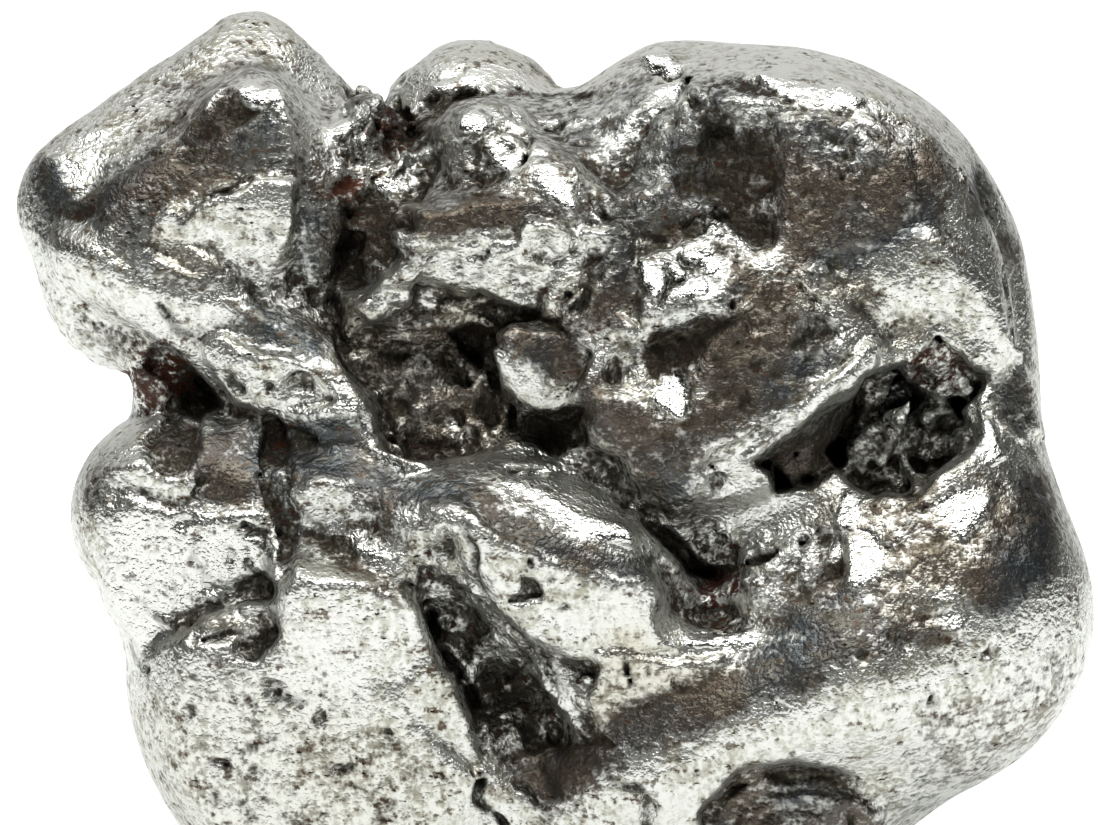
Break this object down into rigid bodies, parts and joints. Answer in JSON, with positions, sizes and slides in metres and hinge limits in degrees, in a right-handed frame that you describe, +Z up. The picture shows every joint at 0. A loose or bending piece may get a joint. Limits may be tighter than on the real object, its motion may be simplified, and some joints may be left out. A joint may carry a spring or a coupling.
{
  "type": "iron meteorite",
  "caption": "Polished nickel-iron lump with rounded lobes, deep clefts, thumbprint hollows and flat cleavage facets, standing on worn flats under its lower lobes.",
  "frame": {"origin": "on the worn flat that the lump stands on, near the middle of its underside", "axes": "+Z up, +X to the right across the lobes, +Y away from the sculpted face, which looks along -Y"},
  "size_m": [0.0431, 0.0243, 0.0359],
  "materials": {
    "nickel_iron": "bare nickel-iron, satin bright where it is worn and brown to rust in the clefts"
  },
  "bodies": {
    "root": {"meteorite": "nickel_iron"}
  },
  "joints": []
}
